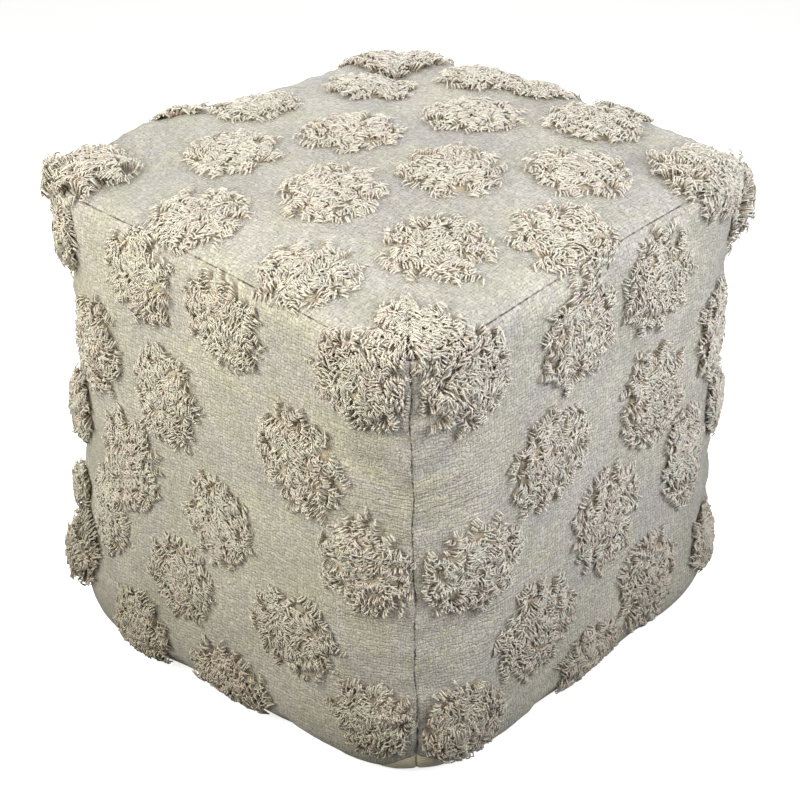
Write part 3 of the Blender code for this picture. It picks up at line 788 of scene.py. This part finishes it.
# %% Slanting pairs of tufts on the two back sides
PAIR_STEP = {"back_left": -50, "back_right": 50}    # across, from the upper tuft to the lower
PAIR_DROP = 72
PAIRS = (                   # panel, number, the upper tuft's place, and the size of each
    ("back_left", 1, 150, 322, (96, 100), (94, 98)),
    ("back_left", 2, 140, 132, (94, 98), (92, 86)),
    ("back_left", 3, 18, 350, (94, 98), (94, 96)),
    ("back_left", 4, 18, 160, (92, 96), (94, 94)),
    ("back_left", 5, -104, 382, (92, 90), (94, 96)),
    ("back_left", 6, -112, 196, (92, 98), (92, 94)),
    ("back_right", 1, -150, 322, (94, 98), (94, 98)),
    ("back_right", 2, -138, 132, (92, 96), (94, 86)),
    ("back_right", 3, -18, 352, (94, 96), (94, 98)),
    ("back_right", 4, -14, 162, (94, 98), (94, 94)),
    ("back_right", 5, 102, 384, (92, 88), (94, 98)),
    ("back_right", 6, 112, 198, (92, 96), (92, 94)),
)
for panel, number, across, height, upper, lower in PAIRS:
    piece = f"tuft_{panel}_{number:02d}"
    TUFTS += [Tuft(piece, panel, across, height, *upper),
              Tuft(piece, panel, across + PAIR_STEP[panel], height - PAIR_DROP, *lower)]
print("tufts:", len(TUFTS))

# %% Sizes of the yarn
YARN_RADIUS = 0.92 * MM
STRANDS = 9                 # in a lock
STEPS = 2                   # along a strand
Make = namedtuple("Make", "locks coarse")
SEEN = Make(locks=80, coarse=1.0)
OVER_EDGE = Make(locks=56, coarse=1.0)
BEHIND = Make(locks=60, coarse=1.15)

# %% Laying points on the cover
SEAM_LAP = 26 * MM          # how far a tuft on the top panel hangs over its seams
LOWEST_ROOT = 8 * MM        # above the floor
cover_tree = BVHTree.FromPolygons([Vector(place) for place in cloth_places],
                                  [polygon.vertices for polygon in mesh.polygons])


def cube_near(panel, across, up):
    """Points of the flat cube for places counted on one panel, going on past its seams."""
    if panel != "top":
        return cube_at((SIDE_PANELS.index(panel) * SIDE + across + HALF) % (4 * SIDE),
                       np.maximum(up, LOWEST_ROOT))
    over = np.maximum(abs(across), abs(up)) - HALF
    x = np.clip(across, -HALF, HALF)
    y = np.clip(up, -HALF, HALF)
    return np.stack([x, y, SIDE - np.clip(over, 0, SEAM_LAP)], -1)


def laid(panel, across, up, height):
    """Points at a height over the finished cover, one to a row."""
    flat = cube_near(panel, across.ravel(), up.ravel())
    over = stuffed(flat)
    spots = np.array([cover_tree.find_nearest(Vector(point))[0] for point in over])
    points = spots + outward(spots) * height.ravel()[:, None]
    return points.reshape(across.shape + (3,))


# %% The locks of one tuft
GOLDEN = math.pi * (3 - math.sqrt(5))       # turn from lock to lock that fills a round evenly
ROOT_REACH = 0.84           # how far out the roots go, as a share of the tuft
STRAND_LENGTH = (9.5 * MM, 14 * MM)
COMBED = 36 * MM            # how far one direction of combing reaches
SAG = 0.25                  # how strongly strands on the sides lean down
# Below, pairs of a share of the way from a tuft's middle to its rim, and a value there.
COMBED_SWING = ((0.0, 2.6), (0.5, 2.2), (0.8, 1.6), (1.0, 1.15))
COMBED_MOST = ((0.0, 9.0), (0.55, 3.2), (0.75, 1.9), (1.0, 1.25))
# Unevenness: how far each of these strays.
LOCK_OUT = 0.04             # a lock's share of the way out
LOCK_ROUND = 0.15           # its angle round the tuft; all angles are in radians
LOCK_LEAN = 0.5             # the way that its strands point
LOCK_BEND = 0.5             # and how far they bend aside on their way


def combing(places, share, chance):
    """How far locks turn away from pointing outwards: much inside a tuft, little at its rim."""
    waves = chance.normal(0, TURN / COMBED, (3, 2))
    swing = np.sin(places @ waves.T + chance.uniform(0, TURN, 3)).sum(-1)
    swing *= np.interp(share, *zip(*COMBED_SWING))
    most = np.interp(share, *zip(*COMBED_MOST))
    return most * np.tanh(swing / most)


def locks_of(tuft, locks, chance):
    """Each lock's share of the way out, angle, root, lean, bend and length."""
    number = np.arange(locks) + 0.5
    share = np.sqrt(number / locks) + chance.normal(0, LOCK_OUT, locks)
    share = np.clip(share, 0.04, 1.03)
    angle = number * GOLDEN + chance.uniform(0, TURN) + chance.normal(0, LOCK_ROUND, locks)
    root = ROOT_REACH * share[:, None] * np.stack([tuft.wide * np.cos(angle),
                                                   tuft.tall * np.sin(angle)], 1) * MM / 2
    lean = angle + combing(root, share, chance) + chance.normal(0, LOCK_LEAN, locks)
    if tuft.panel != "top":
        lean = np.arctan2(np.sin(lean) - SAG, np.cos(lean))
    bend = chance.normal(0, LOCK_BEND, locks)
    length = chance.uniform(*STRAND_LENGTH, locks) * (1.05 - 0.3 * share ** 2)
    return share, angle, root, lean, bend, length


# %% How high the strands lie
PILE = 7.8 * MM             # how high the strands lie in the middle of a tuft
PILE_ROUND = 2.4            # a power: the higher, the flatter a tuft's middle
RIM_PILE = 5.4 * MM
RIM_HIGHEST = 1.2           # times as much at most, in a tall tuft
TOP_PILE = 0.70             # times as much for a tuft that lies on the top
LIFT = 0.8 * MM             # how far one lock lies over or under the next
UNEVEN = 0.35 * MM          # and one strand over or under the next
ROOT_HEIGHT = 1.5 * MM
UP_BY = 0.4                 # shares of a strand's length: where it has come up from its root,
DOWN_FROM = 0.25            # and from where it droops
# Pairs of a share of the way from a tuft's middle to its rim, and how far the ends droop there.
CLOSING = ((0.6, 0.0), (0.85, 0.51), (1.0, 0.85))
STRAND_DROOP = (0.55, 1.0)  # the least and the most, as a share of that


def pile_at(tuft, share):
    """How high the strands lie: highest in a tuft's middle, and low at its rim."""
    high = tuft.high * (TOP_PILE if tuft.panel == "top" else 1.0)
    rim = RIM_PILE * min(high, RIM_HIGHEST)
    return rim + (PILE * high - rim) * (1 - share ** PILE_ROUND)


def heights_along(t, tuft, make, share, outwards, chance):
    """Heights at the places t along each strand: up from its root, over, and down."""
    shape = (make.locks, STRANDS)
    top = pile_at(tuft, np.minimum(share, 1))
    top += chance.uniform(-1, 1, make.locks) * LIFT
    top = top[:, None] + chance.normal(0, UNEVEN, shape)
    closing = np.interp(share, *zip(*CLOSING)) * outwards
    droop = top * closing[:, None] * chance.uniform(*STRAND_DROOP, shape)
    droop += 0.5 * MM * chance.uniform(0.2, 1.5, shape)
    rise = np.sin(np.clip(t / UP_BY, 0, 1) * math.pi / 2)
    fall = np.clip((t - DOWN_FROM) / (1 - DOWN_FROM), 0, 1) ** 1.4
    height = ROOT_HEIGHT + (top[..., None] - ROOT_HEIGHT) * rise - droop[..., None] * fall
    return np.maximum(height, YARN_RADIUS * make.coarse * 1.1)


# %% The strands of one tuft, as paths
STRAND_SPACING = 1.95 * MM
LOCK_CENTRED = 0.5          # inside a tuft a lock lies with its middle over its root
CURLS = 0.8                 # waves of curl along a strand
# Unevenness: how far each of these strays, or the least and the most of it.
STRAND_ACROSS = 0.2 * MM
STRAND_BACK = 1.1 * MM
STRAND_LEAN = 0.13
STRAND_BEND = 0.12
STRAND_CURL = (0.1, 0.5)
STRAND_REACH = (0.85, 1.1)


def strand_paths(tuft, make, chance):
    """Middle lines of a tuft's strands, lock by lock, and the tone of each."""
    locks, coarse = make
    share, angle, root, lean, bend, length = locks_of(tuft, locks, chance)
    length = length * coarse
    side = np.arange(STRANDS) - (STRANDS - 1) / 2
    shape = (locks, STRANDS)
    spread = side * STRAND_SPACING * coarse + chance.normal(0, STRAND_ACROSS, shape)
    centred = LOCK_CENTRED * (1 - share ** 4)
    back = chance.normal(0, STRAND_BACK, shape) - (length * centred)[:, None]
    fan = chance.normal(0.03, 0.04, locks)
    heading = lean[:, None] + side * fan[:, None] + chance.normal(0, STRAND_LEAN, shape)
    away_x, away_y = np.cos(lean)[:, None], np.sin(lean)[:, None]
    root_x = tuft.across * MM + root[:, :1] - away_y * spread + away_x * back
    root_y = tuft.up * MM + root[:, 1:] + away_x * spread + away_y * back

    t = np.linspace(0, 1, STEPS + 1)
    turn = (bend[:, None] + chance.normal(0, STRAND_BEND, shape))[..., None] * t ** 1.3
    curl = chance.uniform(*STRAND_CURL, shape)[..., None]
    first = chance.uniform(0, TURN, shape)[..., None]
    heading = heading[..., None] + turn + curl * np.sin(TURN * t * CURLS + first)
    reach = length[:, None] * chance.uniform(*STRAND_REACH, shape)
    stride = reach[..., None] / STEPS * (t > 0)
    x = root_x[..., None] + np.cumsum(np.cos(heading) * stride, -1)
    y = root_y[..., None] + np.cumsum(np.sin(heading) * stride, -1)
    outwards = np.clip(np.cos(lean - angle) + 0.4, 0, 1)
    height = heights_along(t, tuft, make, share, outwards, chance)
    tone = chance.uniform(0, 1, locks)[:, None] * 0.7 + chance.uniform(0, 1, shape) * 0.3
    points = laid(tuft.panel, x, y, height)
    return points.reshape(-1, STEPS + 1, 3), tone.ravel()


# %% Tubes along the paths
SIDES = 3
TWIST = 0.7                 # turn of the tube from one step to the next, in radians
YARN_SHAPE = ((0.0, 0.85), (0.3, 1.0), (0.9, 1.0), (1.0, 0.85))     # thickness along it
TIP = 0.55                  # how far the cut end stands out, in radii


def unit(vectors):
    return vectors / np.maximum(np.linalg.norm(vectors, axis=-1, keepdims=True), 1e-12)


def tubes(points, tone, radius, chance):
    """Vertices, faces and marks of a closed twisted tube round each path."""
    count, rings, _ = points.shape
    along = unit(np.gradient(points, axis=1))
    normal = outward(points[:, :1])
    chord = points[:, -1:] - points[:, :1] + chance.normal(0, 1e-5, (count, 1, 3))
    beside = unit(np.cross(normal, chord))
    beside = unit(beside - (beside * along).sum(-1, keepdims=True) * along)
    above = np.cross(along, beside)
    t = np.linspace(0, 1, rings)
    size = radius[:, None] * np.interp(t, *zip(*YARN_SHAPE))
    corner = np.arange(SIDES) * TURN / SIDES
    turn = corner + (np.arange(rings) * TWIST)[:, None] + chance.uniform(0, TURN, (count, 1, 1))
    ring = np.cos(turn)[..., None] * beside[:, :, None]
    ring = ring + np.sin(turn)[..., None] * above[:, :, None]
    body = points[:, :, None] + ring * size[..., None, None]
    tip = points[:, -1] + along[:, -1] * radius[:, None] * TIP
    verts = np.concatenate([body.reshape(count, -1, 3), tip[:, None]], 1)

    each = rings * SIDES + 1
    ring_start = np.arange(rings - 1)[:, None] * SIDES
    this = np.arange(SIDES)
    after = (this + 1) % SIDES
    quads = np.stack([ring_start + this, ring_start + after,
                      ring_start + SIDES + after, ring_start + SIDES + this], -1).reshape(-1, 4)
    last = (rings - 1) * SIDES
    ends = [(last + j, last + (j + 1) % SIDES, each - 1) for j in range(SIDES)]
    ends.append((2, 1, 0))
    base = np.arange(count)[:, None, None] * each
    quads = (quads[None] + base).reshape(-1, 4)
    ends = (np.array(ends)[None] + base).reshape(-1, 3)
    marks = np.zeros((count, each, 3))
    marks[:, :-1, 0] = np.repeat(t, SIDES)
    marks[:, -1, 0] = 1
    marks[:, :, 1] = tone[:, None]
    return verts.reshape(-1, 3), [quads, ends], marks.reshape(-1, 3)


# %% The matted roots under the strands, coloured as painted shade
MAT_DEPTH = 3.2 * MM        # how far under the strands their matted roots lie
MAT_DEEPER = 0.7            # and how much deeper in a tall tuft, as a power of its height
MAT_AT_CORNER = 0.7         # the mat is smaller where a tuft bends round a corner
MAT_RINGS = (0.0, 0.3, 0.5, 0.64, 0.72)     # shares of the way out
MAT_EDGE = (0.7, -0.3)      # height of the two outer rings, the last inside the cloth
MAT_SECTORS = 18
MAT_WAVY = 0.05             # its outline
MAT_UNEVEN = 0.4 * MM


def root_shade_mat(tuft, chance):
    """The matted roots: a low dome over the tuft's middle, its edge just inside the cloth,
    coloured as painted shade for the gaps between the strands.
    """
    shares = np.array(MAT_RINGS) * (MAT_AT_CORNER if "corner" in tuft.piece else 1.0)
    heights = pile_at(tuft, shares) - MAT_DEPTH * max(1.0, tuft.high) ** MAT_DEEPER
    heights[-2:] *= MAT_EDGE
    this = np.arange(MAT_SECTORS)
    angle = this * TURN / MAT_SECTORS
    share = shares[:, None] * (1 + MAT_WAVY * np.sin(3 * angle + chance.uniform(0, TURN)))
    x = tuft.across * MM + tuft.wide * MM / 2 * share * np.cos(angle)
    y = tuft.up * MM + tuft.tall * MM / 2 * share * np.sin(angle)
    height = heights[:, None] + chance.normal(0, MAT_UNEVEN, x.shape)
    verts = laid(tuft.panel, x, y, height).reshape(-1, 3)
    after = (this + 1) % MAT_SECTORS
    start = np.arange(len(shares) - 1)[:, None] * MAT_SECTORS
    quads = np.stack([start + this, start + MAT_SECTORS + this,
                      start + MAT_SECTORS + after, start + after], -1).reshape(-1, 4)
    bottom = np.flip(this + (len(shares) - 1) * MAT_SECTORS)
    marks = np.tile((0.0, 0.5, 1.0), (len(verts), 1))
    return verts, [quads, bottom[None]], marks


# %% [markdown]
# ## The yarn's finish
# Cut cotton is matt and pale at its ends. Towards its roots it is darker and browner: painted
# shade, where the strands shade each other. Every point of a strand knows how far along it lies,
# so one material can be mixed along each strand. Cotton also lets a little light through, and
# subsurface scattering in the shader softens the shade between the strands.

# %% Material: cut cotton yarn
YARN_PALE = (0.765, 0.728, 0.612, 1)
YARN_WARM = (0.782, 0.692, 0.592, 1)
# painted shade: the roots' darker, browner colour and its deeper patches stand for the shade
# between the strands
YARN_ROOT_SHADE = (0.560, 0.442, 0.308, 1)
YARN_DEEP_SHADE = (0.255, 0.175, 0.098, 1)
# painted shade: the mat's colour, seen in the gaps between the strands
YARN_MAT_SHADE = (0.435, 0.385, 0.298, 1)
# painted shade towards the floor, for the yarn
YARN_FLOOR_SHADE = (0.72, 0.69, 0.64, 1)       # share of its colour that it keeps down there
ROOT_SHADE = 0.52           # how far along a strand the root's colour reaches
TONE_SCALE = 34.0
DEEP_SHADE_SCALE = 62.0
TANGLE_SCALE = 480.0
TANGLE_RELIEF = 24.0


def yarn_colour(nodes, place, along, tone, matted):
    """Pale and warm ends, roots painted darker and browner as painted shade with deeper patches of
    it, and the mat's colour, also painted shade.
    """
    patches = nodes.ramp(nodes.noise(place, TONE_SCALE), 0.4, 0.6, -0.35, 0.35)
    pale = nodes.ramp(nodes.plus(tone, patches), 0.2, 0.8)
    ends = nodes.mix(pale, YARN_WARM, YARN_PALE)
    # painted shade at the roots, with patches of deeper painted shade
    deep_shade = nodes.ramp(nodes.noise(place, DEEP_SHADE_SCALE), 0.56, 0.68)
    roots = nodes.mix(deep_shade, YARN_ROOT_SHADE, YARN_DEEP_SHADE)
    # the mat takes a darker painted shade
    roots = nodes.mix(nodes.times(matted, 0.85), roots, YARN_MAT_SHADE)
    colour = nodes.mix(nodes.ramp(along, 0.0, ROOT_SHADE), roots, ends)
    # painted shade, darker towards the floor
    return nodes.place(painted_floor_shade, {"Kept": YARN_FLOOR_SHADE, "Place": place,
                                     "Colour": colour})["Colour"]


def yarn_material():
    material, nodes, surface = new_material("tuft_yarn")
    place = nodes.add("ShaderNodeTexCoord").outputs["Object"]
    marks = nodes.add("ShaderNodeAttribute", attribute_name="yarn").outputs["Vector"]
    along, tone, matted = list(nodes.add("ShaderNodeSeparateXYZ", {0: marks}).outputs)
    tangle = nodes.noise(place, TANGLE_SCALE, 1.0)
    tangle = nodes.times(nodes.ramp(tangle, 0.40, 0.62, 0.0, 0.18), matted)
    colour = yarn_colour(nodes, place, nodes.plus(along, tangle), tone, matted)
    grain = nodes.place(cotton_grain, {"Fibre Scale": 1100.0, "Dye Scale": 30.0,
                                       "Dye Spread": 0.10, "Place": place, "Colour": colour})
    relief = nodes.plus(nodes.times(tangle, TANGLE_RELIEF), grain["Height"])
    bump = nodes.add("ShaderNodeBump", {"Strength": 0.35, "Distance": 0.3 * MM,
                                        "Height": relief})
    nodes.fill(surface, {"Base Color": grain["Colour"], "Normal": bump.outputs[0],
                         "Roughness": 0.92, "Subsurface Weight": 0.6,
                         "Subsurface Radius": (1.0, 0.95, 0.9),
                         "Subsurface Scale": 2.0 * MM, "Sheen Weight": 0.15,
                         "Sheen Roughness": 0.5, "Specular IOR Level": 0.2})
    return material


yarn_finish = yarn_material()
print("nodes in the yarn's finish:", len(yarn_finish.node_tree.nodes))

# %% Build each piece of yarn
STRAND_THICKNESS = (0.85, 1.12)  # the least and the most, times the yarn's own


def join_parts(parts):
    """One list of vertices, faces and marks from several."""
    verts, faces, marks, start = [], [], [], 0
    for part_verts, part_faces, part_marks in parts:
        verts.append(part_verts)
        marks.append(part_marks)
        faces += [(face + start).tolist() for block in part_faces for face in block]
        start += len(part_verts)
    return np.concatenate(verts), faces, np.concatenate(marks)


def make_of(tuft):
    """Tufts on the back sides have fewer and coarser strands."""
    if not tuft.panel.startswith("back"):
        return SEEN
    return BEHIND if tuft.piece.startswith("tuft_back") else OVER_EDGE


def yarn_piece(name, tufts, seed):
    """The strands and matted roots of the tufts that one solid stands for."""
    parts = []
    for number, tuft in enumerate(tufts):
        chance = np.random.default_rng([seed, number])
        make = make_of(tuft)
        paths, tone = strand_paths(tuft, make, chance)
        radius = YARN_RADIUS * make.coarse * chance.uniform(*STRAND_THICKNESS, len(paths))
        parts.append(tubes(paths, tone, radius, chance))
        parts.append(root_shade_mat(tuft, chance))
    verts, faces, marks = join_parts(parts)
    data = bpy.data.meshes.new(name)
    data.from_pydata((verts + shift).tolist(), [], faces)
    named_values(data, "yarn", "FLOAT_VECTOR").foreach_set("vector", marks.ravel())
    data.shade_smooth()
    data.materials.append(yarn_finish)
    return stand(name, data)


piece_names = list(dict.fromkeys(tuft.piece for tuft in TUFTS))
yarn_triangles = 0
for seed, node in enumerate(piece_names):
    own_tufts = [tuft for tuft in TUFTS if tuft.piece == node]
    piece = yarn_piece(node.replace("tuft_", "yarn_"), own_tufts, seed)
    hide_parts(node)
    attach(piece, "root")
    yarn_triangles += sum(len(polygon.vertices) - 2 for polygon in piece.data.polygons)
print("pieces of yarn:", len(piece_names), "triangles:", yarn_triangles)

# %% [markdown]
# ## Floor, light and camera
# The pouf stands on a plain pale floor, in soft light from large panels at its left, its
# right and behind it, and is seen from above over its front edge. The floor could be left
# out, but with it the pouf stands on something in every view. The camera sees the floor and
# the room white, while to all other rays they are dim, so that they don't light the pouf
# from below. The Light Path node tells the two apart.

# %% Floor
FLOOR_REACH = 40.0          # far enough that a low view sees no edge
FLOOR_SEEN = (0.93, 0.93, 0.93, 1)
FLOOR_BOUNCE = (0.02, 0.02, 0.02, 1)        # what the floor throws back up at the sides
FLOOR_GLOW = 0.66
floor_mesh = bpy.data.meshes.new("floor")
floor_maker = bmesh.new()
bmesh.ops.create_grid(floor_maker, x_segments=1, y_segments=1, size=FLOOR_REACH)
floor_maker.to_mesh(floor_mesh)
floor_maker.free()
floor = stand("floor", floor_mesh)
floor_finish, nodes, surface = new_material("pale_floor")
straight = nodes.add("ShaderNodeLightPath").outputs["Is Camera Ray"]
nodes.fill(surface, {"Base Color": nodes.mix(straight, FLOOR_BOUNCE, FLOOR_SEEN),
                     "Emission Strength": nodes.times(straight, FLOOR_GLOW),
                     "Emission Color": WHITE, "Roughness": 0.9})
floor_mesh.materials.append(floor_finish)
print("floor reaches, m:", FLOOR_REACH)

# %% Soft light
SPREAD = math.radians(140)  # narrower than a bare panel's, so the light falls off downwards
ROOM_LIGHT = 0.24
ROOM_SEEN = 1.0             # a low view sees white behind the floor, not a grey room
Panel = namedtuple("Panel", "name place aim size watts colour", defaults=((1.0, 1.0, 1.0),))
PANELS = (
    Panel("left_panel", (-0.12, -0.96, 0.88), (0, 0, 0.42), 0.95, 9.7, (1.0, 0.965, 0.84)),
    Panel("right_panel", (0.98, 0.13, 0.88), (0, 0, 0.42), 0.95, 9.1, (0.985, 0.99, 1.0)),
    Panel("back_panel", (-0.8, 0.8, 1.15), (0, 0, 0.4), 0.95, 6.5),
    Panel("low_back_panel", (-0.95, 0.95, 0.4), (0, 0, 0.24), 0.7, 7.5),
)


def light_up(panel):
    light = bpy.data.lights.new(panel.name, "AREA")
    light.shape = "SQUARE"
    light.size = panel.size
    light.spread = SPREAD
    light.energy = panel.watts
    light.color = panel.colour
    lamp = stand(panel.name, light)
    lamp.location = panel.place
    aim = Vector(panel.aim) - Vector(panel.place)
    lamp.rotation_euler = aim.to_track_quat("-Z", "Y").to_euler()
    lamp.visible_camera = False


for panel in PANELS:
    light_up(panel)
world = bpy.data.worlds.new("soft_room")
bpy.context.scene.world = world
world.use_nodes = True
room = Nodes(world.node_tree)
straight = room.add("ShaderNodeLightPath").outputs["Is Camera Ray"]
room_glow = room.plus(room.times(straight, ROOM_SEEN - ROOM_LIGHT), ROOM_LIGHT)
room.fill(world.node_tree.nodes["Background"], {"Color": WHITE, "Strength": room_glow})
bpy.context.scene.view_settings.view_transform = "Standard"
print("panels of light:", [(panel.name, panel.watts) for panel in PANELS])

# %% Camera
CAMERA_AZIMUTH = math.radians(41.55)
CAMERA_ELEVATION = math.radians(31.95)
CAMERA_DISTANCE = 2.022
CAMERA_AIM = Vector((0.0013, 0.0008, 0.2248)) + Vector(shift)
CAMERA_LENS = 97.2          # in mm, on a sensor of this width
SENSOR_WIDTH = 36
to_camera = Vector((math.sin(CAMERA_AZIMUTH) * math.cos(CAMERA_ELEVATION),
                    -math.cos(CAMERA_AZIMUTH) * math.cos(CAMERA_ELEVATION),
                    math.sin(CAMERA_ELEVATION)))
view = bpy.data.cameras.new("camera")
view.lens = CAMERA_LENS
view.sensor_width = SENSOR_WIDTH
camera = stand("camera", view)
camera.location = CAMERA_AIM + to_camera * CAMERA_DISTANCE
camera.rotation_euler = (-to_camera).to_track_quat("-Z", "Y").to_euler()
bpy.context.scene.camera = camera
print("camera at, m:", [round(value, 3) for value in camera.location])
